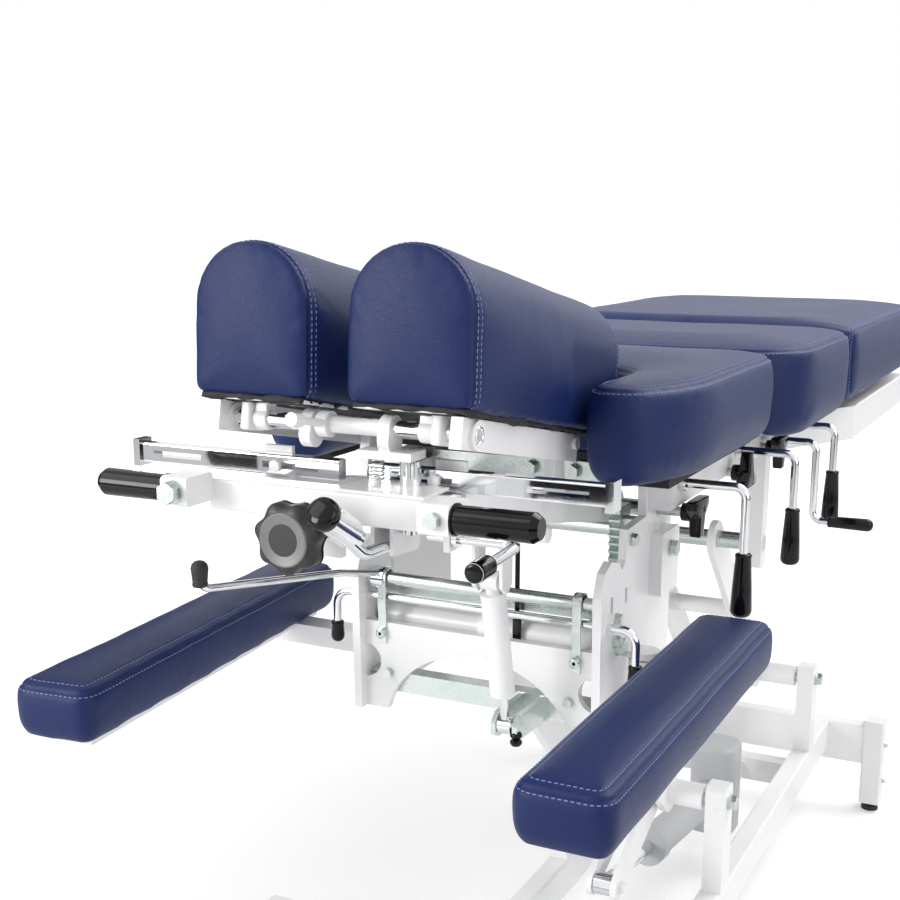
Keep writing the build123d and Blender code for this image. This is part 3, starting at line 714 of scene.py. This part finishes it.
headCushions = {
    "voxel": 0.005, "rounding": 4, "pressure": 4.0, "cap": 0.005, "fill": 0.85, "uneven": (14.0, 0.0010),
    "pivot": (374, 850), "tilt": 11.3, "lean": 8.5, "front": -288, "length": 380, "bottom": 14,
    "seamIn": 0.009, "cuts": (-0.0016, 0.0016), "gap": 0.0016, "groove": (0.0020, 0.0022),
    "rowBehind": 0.009, "rowGroove": (0.0007, 0.002), "seamRowBehind": 0.0028,
    "pinned": 0.003, "heldUpTo": 0.0175,
}


def headPlace(side, along, up):
    # a point in the tilted carriage's own directions
    lean = math.radians(headCushions["tilt"])
    station = headCushions["pivot"][0] + along * math.cos(lean) + up * math.sin(lean)
    return at(side, station, headCushions["pivot"][1] - along * math.sin(lean) + up * math.cos(lean))


def headCushion(node, name, body):
    values = headCushions
    pad = emptyLike(node, name)
    tilt = math.radians(values["tilt"])
    frontTilt = math.radians(values["tilt"] - values["lean"])
    up = Vector((0, math.sin(tilt), math.cos(tilt)))
    seamIn = values["seamIn"]
    front = headPlace(0, values["front"], values["bottom"])
    back = headPlace(0, values["front"] + values["length"], values["bottom"])
    ends = (
        ("Front", front, Vector((0, math.cos(frontTilt), -math.sin(frontTilt)))),
        ("Back", back, Vector((0, -math.cos(tilt), math.sin(tilt)))),
    )

    def isPinned(place):
        onSeam = any(abs((place - start).dot(into) - seamIn) < values["pinned"] for _, start, into in ends)
        return onSeam or (place - headPlace(0, 0, 0)).dot(up) < values["heldUpTo"]

    def besideRecess(place):
        ahead = 1 - easeBetween(stationOf(place), *nearRecess["ahead"])
        inside = 1 - easeBetween(asideOf(place), *nearRecess["inside"])
        return littleWhereNone(max(ahead, inside))

    blowUp(pad, values, isPinned, besideRecess)
    addModifier(pad, "SUBSURF", levels=1, render_levels=1)
    roughen(pad, *values["uneven"], besideRecess)
    rows = []
    for label, start, into in ends:
        seam = cutSeam(pad, start + into * seamIn, into, values["cuts"], values["gap"])
        row = onCover(pad, [p + into * values["rowBehind"] for p in seam], 0)
        pressLine(pad, [(seam, *values["groove"]), (row, *values["rowGroove"])])
        rows.append((name + label + "Seam", [p + into * values["seamRowBehind"] for p in seam]))
        rows.append((name + label + "Row", row))
    settle(pad, name, node, body)
    for label, line in rows:
        stitchRow(label, pad, line, body)
    print("cushion made:", name)


headCushion("head_cushion_left", "headCushionLeft", "headrest_left")
headCushion("head_cushion_right", "headCushionRight", "headrest_right")


armPads = {
    "voxel": 0.005, "rounding": 3, "pressure": 4.0, "cap": 0.004, "fill": 0.9, "uneven": (12.0, 0.0009),
    "edge": 0.623, "seam": 0.623, "pinned": (0.004, 0.001), "cuts": (-0.0018, 0.0018), "gap": 0.0016,
    "groove": (0.0016, 0.0022), "topRow": (0.009, 0.006), "topGroove": (0.0006, 0.002),
    "sideRow": 0.004, "sideGroove": (0.0005, 0.002), "heldUpTo": 0.574,
}


def armPad(node, name, body):
    pad = emptyLike(node, name)
    blowUp(pad, armPads, lambda place: isBySeam(place, armPads) or place.z < armPads["heldUpTo"])
    sewLevel(pad, name, node, body, armPads)


armPad("armrest_pad_left", "armPadLeft", "armrest_left")
armPad("armrest_pad_right", "armPadRight", "armrest_right")


# turned pieces that finish the plain ends of the CAD parts

def shapeUp(steps):
    # grow the active piece's flat outline upward; steps are (height, size) in millimetres
    bpy.ops.object.mode_set(mode="EDIT")
    bpy.ops.mesh.select_all(action="SELECT")
    for (near, before), (far, after) in zip(steps, steps[1:]):
        bpy.ops.mesh.extrude_region_move(TRANSFORM_OT_translate={"value": (0, 0, (far - near) / 1000)})
        grow = after / before
        bpy.ops.transform.resize(value=(grow, grow, 1), center_override=(0, 0, far / 1000))
    bpy.ops.object.mode_set(mode="OBJECT")


def placeAlong(piece, start, end, name, material, body, slot, smoothAngle=40):
    piece.location = start
    piece.rotation_mode = "QUATERNION"
    piece.rotation_quaternion = (end - start).to_track_quat("Z", "Y")
    dress(piece, name, material, body, slot, smoothAngle)


def startRound(radius, height, sides):
    selectNone()
    bpy.ops.mesh.primitive_circle_add(
        vertices=sides, radius=radius / 1000, fill_type="NGON", location=(0, 0, height / 1000),
    )
    bpy.ops.object.transform_apply(location=True)
    return bpy.context.object


def turned(name, start, end, steps, material, body, slot, sides=40):
    piece = startRound(steps[0][1], steps[0][0], sides)
    shapeUp(steps)
    placeAlong(piece, start, end, name, material, body, slot)


def gripSteps(length, near, far):
    # a glossy grip with a rolled rim, a slight swell and a domed end
    return (
        (-0.6, near - 1.4), (0, near + 0.1), (1.2, near + 0.9), (3.4, near + 0.9), (4.6, near + 0.5),
        (length * 0.55, near + (far - near) * 0.62 + 0.5), (length - 7, far + 0.5), (length - 3, far - 0.5),
        (length - 0.6, far - 2.7), (length + 0.4, far - 4.0), (length + 1.2, far - 6.6), (length + 1.4, 0.4),
    )


def startBlock(place, size):
    selectNone()
    bpy.ops.mesh.primitive_cube_add(size=1, location=place)
    block = bpy.context.object
    block.scale = size
    bpy.ops.object.transform_apply(location=True, scale=True)
    return block


def roundCorners(piece, width):
    addModifier(piece, "BEVEL", width=width, segments=3, limit_method="ANGLE", angle_limit=math.radians(25))


leverGrip = {"side": 270, "long": 76, "ends": {"chest": (585, 620), "pelvic": (840, 625), "leg": (1105, 632)}}
for section, (station, low) in leverGrip["ends"].items():
    turned(
        section + "LeverGrip",
        at(leverGrip["side"], station, low + leverGrip["long"]), at(leverGrip["side"], station, low),
        gripSteps(leverGrip["long"], 9, 12.5), blackGloss, "lever_" + section, "black_plastic",
    )
turned(
    "crankGrip", at(276, 1065, 638), at(340, 1065, 638),
    gripSteps(64, 8, 9), blackGloss, "crank", "black_plastic",
)
turned(
    "leftLeverTip", at(-207, 170, 700), at(-207, 170, 727),
    gripSteps(27, 7.5, 9), rubber, "lever_left", "rubber",
)
turned(
    "rightLeverTip", at(183, 58, 795.5), at(183, 30, 794.4),
    (
        (-1.2, 5.4), (-0.4, 8.6), (1, 9.3), (4, 9.5), (5, 9.2),
        (24, 9.5), (27.4, 9.3), (28.6, 8.2), (29.2, 6), (29.3, 0.4),
    ),
    blackGloss, "lever_right", "black_plastic",
)
turned(
    "centreLeverCap", at(49, 15, 832.9), at(49, 3, 840),
    (
        (-0.4, 13), (0, 14.9), (0.8, 15.2), (7, 15.2), (9.4, 14.5),
        (11.4, 12.6), (12.8, 9.6), (13.6, 5.6), (13.8, 0.4),
    ),
    blackGloss, "lever_centre", "black_plastic",
)
for side, label in ((-1, "Left"), (1, "Right")):
    turned(
        "releaseTip" + label, at(side * 194, 426, 594), at(side * 194, 426, 568),
        gripSteps(26, 7, 8), blackGloss, "release", "black_plastic",
    )
print("grips made")


# three clamping knobs on studs through the frame rails

# each knob: station, height, its stud's start and end from the middle, 1 with the stem down or -1 with it up
clampKnob = {
    "middle": (0, 0, 0.007), "size": (0.016, 0.020, 0.022), "rounding": 0.0024,
    "wing": 0.017, "wingEnd": (0.88, 1, 10 / 22), "wingTip": (0.027, 0.018),
    "stem": 0.025, "stemEnd": (0.86, 0.8, 1), "stemTop": -0.004,
    "places": {
        "head": (600, 736, 160, 198, 1), "chest": (800, 751, 161, 205, -1), "pelvic": (985, 757, 161, 205, 1),
    },
}


def makeClampKnob(section, station, height, root, side, way):
    body = "knob_" + section
    knob = startBlock(clampKnob["middle"], clampKnob["size"])
    tipOut, tipHigh = clampKnob["wingTip"]
    for end in (-1, 1):
        pickFaces(knob, lambda face: face.normal.y * end > 0.9)
        drawOut((0, end * clampKnob["wing"], 0), clampKnob["wingEnd"], (0, end * tipOut, tipHigh))
    pickFaces(knob, lambda face: face.normal.z < -0.9 and abs(face.center.y) < 0.002)
    stemLow = clampKnob["stemTop"] - clampKnob["stem"]
    drawOut((0, 0, -clampKnob["stem"]), clampKnob["stemEnd"], (0, 0, stemLow))
    roundCorners(knob, clampKnob["rounding"])
    knob.location = at(side + 10, station, height)
    knob.rotation_euler = (0 if way > 0 else math.pi, 0, 0)
    dress(knob, section + "ClampKnob", blackGloss, body, "black_plastic")
    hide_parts("t_knob_" + section)
    turned(
        section + "ClampHub", at(side - 9, station, height), at(side + 3, station, height),
        ((0, 9), (0.8, 10.6), (2, 11), (9, 11), (11, 10.2), (12.5, 9.4)), blackGloss, body, "black_plastic",
    )
    turned(
        section + "ClampStud", at(root, station, height), at(side, station, height),
        ((0, 6), (side - root - 1, 6), (side - root - 0.5, 5)), zinc, body, "zinc", 32,
    )


for section, values in clampKnob["places"].items():
    makeClampKnob(section, *values)


# the seven-lobed knob on the front beam

starKnob = {
    "body": "knob_star", "slot": "dark_grey_plastic", "lobes": 7, "perLobe": 12, "radius": 34.2,
    # how far the rim is drawn in, counted from the middle of each hollow
    "hollow": (0.865, 0.872, 0.893, 0.928, 0.968, 0.992),
    "side": -2, "height": 804,
    "rim": (
        (0, 34.2), (0.01, 30), (0.4, 30.6), (1.6, 33), (4, 34.2),
        (15, 34.2), (18.4, 33), (20.6, 30), (21.6, 26.5), (21.7, 23),
    ),
    "ring": (
        (18, 24.6), (21.9, 24.9), (22.8, 24.3), (23.1, 23.4), (22.7, 22.6),
        (22.4, 15.8), (22.1, 15), (20.9, 14.6), (21.1, 0.4),
    ),
    "neck": ((0, 11), (1, 12), (18, 12), (22, 14)),
    "stud": ((0, 5.2), (0.8, 6), (44, 6)),
}


def onKnobAxis(station):
    return at(starKnob["side"], station, starKnob["height"])


def makeStarKnob():
    perLobe = starKnob["perLobe"]
    knob = startRound(starKnob["radius"], 0, starKnob["lobes"] * perLobe)
    take(knob)
    for spread, deep in enumerate(starKnob["hollow"]):
        clearPicks("VERT")
        for vertex in knob.data.vertices:
            step = vertex.index % perLobe
            vertex.select = min(step, perLobe - step) == spread
        bpy.ops.object.mode_set(mode="EDIT")
        bpy.ops.transform.resize(value=(deep, deep, 1), center_override=(0, 0, 0))
        bpy.ops.object.mode_set(mode="OBJECT")
    clearPicks("FACE")
    shapeUp(starKnob["rim"])
    body, slot = starKnob["body"], starKnob["slot"]
    placeAlong(knob, onKnobAxis(46), onKnobAxis(24), "starKnob", knobGrey, body, slot, 35)
    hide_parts("star_knob")
    turned("starKnobRing", onKnobAxis(46), onKnobAxis(20), starKnob["ring"], knobFace, body, slot, 56)
    turned("starKnobNeck", onKnobAxis(66), onKnobAxis(44), starKnob["neck"], knobGrey, body, slot)
    turned("starKnobStud", onKnobAxis(104), onKnobAxis(60), starKnob["stud"], zinc, body, "zinc", 32)


makeStarKnob()
print("knobs made")


# two strap clips that hold the release bar and its rod to the arch plate

strapClip = {
    "wide": 0.011, "thick": 0.0016, "foot": 3,
    "path": (
        (419, 583), (419, 612), (417.5, 621), (417.2, 634), (418.6, 644), (417.4, 652), (417.6, 661),
        (420.6, 666.4), (425.5, 668.9), (431, 668.6), (435.6, 665.8), (438, 661), (438.2, 655), (437, 650),
    ),
    "screw": ((0, 6.4), (1.0, 6.6), (5.6, 6.4), (6.6, 5.4), (7.0, 4.0), (7.05, 2.2), (5.6, 2.0), (5.6, 0.4)),
}


def makeStrap(name, side):
    path = strapClip["path"]
    selectNone()
    low = at(side, path[0][0], path[0][1] - strapClip["foot"])
    bpy.ops.mesh.primitive_plane_add(size=1, location=low, rotation=(math.pi / 2, 0, 0))
    strap = bpy.context.object
    strap.scale = (strapClip["wide"], strapClip["foot"] / 500, 1)
    bpy.ops.object.transform_apply(location=True, rotation=True, scale=True)
    clearPicks("EDGE")
    top = max(vertex.co.z for vertex in strap.data.vertices)
    for edge in strap.data.edges:
        edge.select = all(strap.data.vertices[v].co.z > top - 0.0005 for v in edge.vertices)
    bpy.ops.object.mode_set(mode="EDIT")
    for (station, height), (nextStation, nextHeight) in zip(path, path[1:]):
        bpy.ops.mesh.extrude_edges_move(
            TRANSFORM_OT_translate={"value": (0, (nextStation - station) / 1000, (nextHeight - height) / 1000)},
        )
    bpy.ops.object.mode_set(mode="OBJECT")
    addModifier(strap, "SOLIDIFY", thickness=strapClip["thick"], offset=0)
    addModifier(strap, "BEVEL", width=0.0003, segments=1)
    dress(strap, name, zinc, "table_frame", "zinc")
    turned(
        name + "Screw", at(side, 418.6, 590), at(side, 408, 590),
        strapClip["screw"], zinc, "table_frame", "zinc", 32,
    )


makeStrap("strapLeft", -126)
makeStrap("strapRight", 126)


# the release's black hanging bar

hangingBar = {
    "place": (44, 438, 612), "size": (0.010, 0.004, 0.026), "shoulder": 0.003, "neck": (0.5, 1, 1),
    "rise": 0.088, "rounding": 0.0006,
}


def makeHangingBar():
    middle = at(*hangingBar["place"])
    bar = startBlock(middle, hangingBar["size"])
    top = max(vertex.co.z for vertex in bar.data.vertices)
    pickFaces(bar, lambda face: face.normal.z > 0.9)
    drawOut((0, 0, hangingBar["shoulder"]), hangingBar["neck"], (middle.x, 0, top))
    drawOut((0, 0, hangingBar["rise"]), (1, 1, 1), middle)
    roundCorners(bar, hangingBar["rounding"])
    dress(bar, "hangingBar", blackGloss, "table_frame", "black_plastic", 35)


makeHangingBar()


# the carriage's front under the head cushions: chrome rod, sleeves, flanges, and wrinkled black covers

carriageRod = {"along": -247.7, "up": -5.7}
coverRoom = {
    "side": 84.5, "half": 58, "front": -284, "back": 80, "low": 9.8, "high": 17.5, "grid": 0.0028,
    "wrinkles": ((42.0, 0.0030), (120.0, 0.0016)),
}


def onRod(side):
    return headPlace(side, carriageRod["along"], carriageRod["up"])


def tiltedBlock(name, side, along, up, size, rounding, material, body, slot):
    block = startBlock((0, 0, 0), size)
    roundCorners(block, rounding)
    block.rotation_euler = (-math.radians(headCushions["tilt"]), 0, 0)
    block.location = headPlace(side, along, up)
    dress(block, name, material, body, slot)
    return block


def wrinkledCover(label, side, body):
    long = (coverRoom["back"] - coverRoom["front"]) / 1000
    high = (coverRoom["high"] - coverRoom["low"]) / 1000
    cover = startBlock((0, 0, 0), (coverRoom["half"] / 500, long, high))
    cover.rotation_euler = (-math.radians(headCushions["tilt"]), 0, 0)
    along = (coverRoom["front"] + coverRoom["back"]) / 2
    cover.location = headPlace(side * coverRoom["side"], along, (coverRoom["low"] + coverRoom["high"]) / 2)
    take(cover)
    bpy.ops.object.transform_apply(location=True, rotation=True, scale=True)
    addModifier(cover, "REMESH", mode="VOXEL", voxel_size=coverRoom["grid"])
    addModifier(cover, "SMOOTH", factor=0.5, iterations=3)
    for size, depth in coverRoom["wrinkles"]:
        roughen(cover, size, depth)
    addModifier(cover, "SMOOTH", factor=0.4, iterations=2)
    dress(cover, label + "DustCover", dustCover, body, "black_board", 60)


for side, label in ((-1, "left"), (1, "right")):
    headrest = "headrest_" + label
    turned(
        label + "CarriageRod", onRod(side * 56), onRod(side * 121.5), ((0, 8.2), (65.5, 8.2)),
        chrome, "carriage", "chrome", 36,
    )
    turned(
        label + "RodSleeve", onRod(side * 82), onRod(side * 98),
        ((0, 9.4), (0.8, 10.4), (2.4, 10.8), (15.2, 10.8), (16, 10.4)), paint, headrest, "white_paint", 36,
    )
    turned(
        label + "RodCap", onRod(side * 139.4), onRod(side * 142),
        ((0, 8.6), (1.4, 8.6), (1.8, 8.2), (1.9, 6.8), (1.3, 6.2), (1.2, 0.4)),
        chrome, "carriage", "chrome", 36,
    )
    tiltedBlock(
        label + "RodFlange", side * 103.5, carriageRod["along"], -2.4, (0.0115, 0.029, 0.031), 0.003,
        paint, headrest, "white_paint",
    )
    tiltedBlock(
        label + "SlideWeb", side * 90, carriageRod["along"], 7, (0.014, 0.017, 0.012), 0.001,
        paint, headrest, "white_paint",
    )
    plate = tiltedBlock(
        label + "SlidePlate", side * 72.5, -240, 12, (0.093, 0.080, 0.0036), 0.0006,
        paint, headrest, "white_paint",
    )
    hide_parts("head_slide_" + label)
    wrinkledCover(label, side, headrest)


# the spring on the guide post; the real one shortens onto its seat as the carriage drops, this coil keeps its
# length
dropCoil = {
    "place": (36, 128), "seat": 842, "low": 842.9, "high": 864.3, "turns": 6, "coil": 0.0062, "wire": 0.0009,
    "perTurn": 28, "keep": 0.27,
}


def makeDropSpring():
    selectNone()
    bpy.ops.mesh.primitive_circle_add(
        vertices=10, radius=dropCoil["wire"], rotation=(math.pi / 2, 0, 0), location=(dropCoil["coil"], 0, 0),
    )
    coil = bpy.context.object
    bpy.ops.object.transform_apply(location=True, rotation=True)
    pitch = (dropCoil["high"] - dropCoil["low"]) / dropCoil["turns"]
    addModifier(
        coil, "SCREW", angle=math.tau, screw_offset=pitch / 1000, iterations=dropCoil["turns"],
        steps=dropCoil["perTurn"], render_steps=dropCoil["perTurn"],
    )
    bpy.ops.object.mode_set(mode="EDIT")
    bpy.ops.mesh.select_all(action="SELECT")
    bpy.ops.mesh.fill_holes(sides=0)
    bpy.ops.object.mode_set(mode="OBJECT")
    coil.location = at(*dropCoil["place"], dropCoil["low"])
    dress(coil, "dropSpringCoil", zinc, "head_frame", "zinc", 60)
    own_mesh(coil)
    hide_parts("drop_spring")


makeDropSpring()
print("carriage fittings made")


# the double ball below the gas spring's clevis
clevisBall = (
    (0, 3), (0.6, 5.2), (3, 6.9), (5.4, 6.9), (7.6, 5), (8.4, 3.6),
    (9.2, 5), (11.4, 6.9), (13.8, 6.9), (16.2, 5.2), (17, 3),
)
turned(
    "clevisBall", at(83, 350, 523), at(83, 350, 506), clevisBall,
    blackGloss, "table_frame", "black_plastic", 36,
)
print("small fittings made")


# studio

def makeFloor():
    bpy.ops.mesh.primitive_plane_add(size=studio["floorSize"], location=(0, 0, 0))
    floor = bpy.context.object
    floor.name = "studioFloor"
    material = bpy.data.materials.new("paleFloor")
    material.use_nodes = True
    tree = material.node_tree
    shader = tree.nodes["Principled BSDF"]
    shader.inputs["Base Color"].default_value = (0.86, 0.86, 0.86, 1)
    shader.inputs["Roughness"].default_value = 0.6
    shader.inputs["Specular IOR Level"].default_value = 0.2
    path = tree.nodes.new("ShaderNodeLightPath")
    place = tree.nodes.new("ShaderNodeTexCoord")
    # the glow grows with distance from the table, so the floor round it is painted darker: a painted shade
    away = addNode(tree, "ShaderNodeVectorMath", [(0, place.outputs["Object"])], operation="LENGTH")
    level = addNode(
        tree, "ShaderNodeMapRange", [("Value", away.outputs["Value"])], interpolation_type="SMOOTHSTEP",
    )
    level.inputs["From Min"].default_value = studio["paintedShadeReach"][0]
    level.inputs["From Max"].default_value = studio["paintedShadeReach"][1]
    level.inputs["To Min"].default_value = studio["cameraGlowPaintedShadeNear"][0]
    level.inputs["To Max"].default_value = studio["cameraGlowPaintedShadeNear"][1]
    lift = addNode(
        tree, "ShaderNodeMath",
        [(0, path.outputs["Is Camera Ray"]), (1, level.outputs["Result"])], operation="MULTIPLY",
    )
    shader.inputs["Emission Color"].default_value = (1, 1, 1, 1)
    tree.links.new(lift.outputs[0], shader.inputs["Emission Strength"])
    paintWith(floor, material)


def makeCards():
    # dark panels that only reflections see
    card = bpy.data.materials.new("darkCard")
    card.use_nodes = True
    card.node_tree.nodes["Principled BSDF"].inputs["Base Color"].default_value = (0.02, 0.02, 0.02, 1)
    for number, (place, size) in enumerate(studio["cards"]):
        bpy.ops.mesh.primitive_cube_add(size=1, location=place, scale=size)
        panel = bpy.context.object
        panel.name = "studioCard%d" % number
        panel.visible_camera = False
        panel.visible_shadow = False
        panel.visible_diffuse = False
        paintWith(panel, card)


def makeLights():
    for name in ("key", "top", "side", "front"):
        values = studio[name]
        data = bpy.data.lights.new(name + "Light", "AREA")
        data.shape = "SQUARE"
        data.size = values["size"]
        data.energy = values["power"]
        lamp = bpy.data.objects.new(name + "Light", data)
        bpy.context.scene.collection.objects.link(lamp)
        lamp.location = values["place"]
        aim = Vector(studio["aim"]) - Vector(values["place"])
        lamp.rotation_mode = "QUATERNION"
        lamp.rotation_quaternion = aim.to_track_quat("-Z", "Y")


def makeWorld():
    world = bpy.data.worlds.new("whiteRoom")
    bpy.context.scene.world = world
    world.use_nodes = True
    tree = world.node_tree
    tree.nodes.clear()
    path = tree.nodes.new("ShaderNodeLightPath")
    seen = addNode(
        tree, "ShaderNodeMath",
        [(0, path.outputs["Is Camera Ray"]), (1, path.outputs["Is Glossy Ray"])], operation="MAXIMUM",
    )
    level = addNode(tree, "ShaderNodeMapRange", [("Value", seen.outputs[0])])
    level.inputs["To Min"].default_value = studio["worldLevel"]
    level.inputs["To Max"].default_value = 1.0
    glow = addNode(tree, "ShaderNodeBackground", [("Strength", level.outputs["Result"])])
    glow.inputs["Color"].default_value = (1, 1, 1, 1)
    end = tree.nodes.new("ShaderNodeOutputWorld")
    tree.links.new(glow.outputs[0], end.inputs["Surface"])


def makeCamera():
    data = bpy.data.cameras.new("photoCamera")
    data.lens = cameraView["lens"]
    data.sensor_width = 36.0
    data.shift_y = cameraView["shiftUp"]
    camera = bpy.data.objects.new("photoCamera", data)
    bpy.context.scene.collection.objects.link(camera)
    camera.location = cameraView["place"]
    camera.rotation_euler = (math.radians(90 - cameraView["down"]), 0, math.radians(cameraView["turn"]))
    bpy.context.scene.camera = camera


makeFloor()
makeCards()
makeLights()
makeWorld()
makeCamera()
bpy.context.scene.view_settings.view_transform = "Standard"
print("studio made")
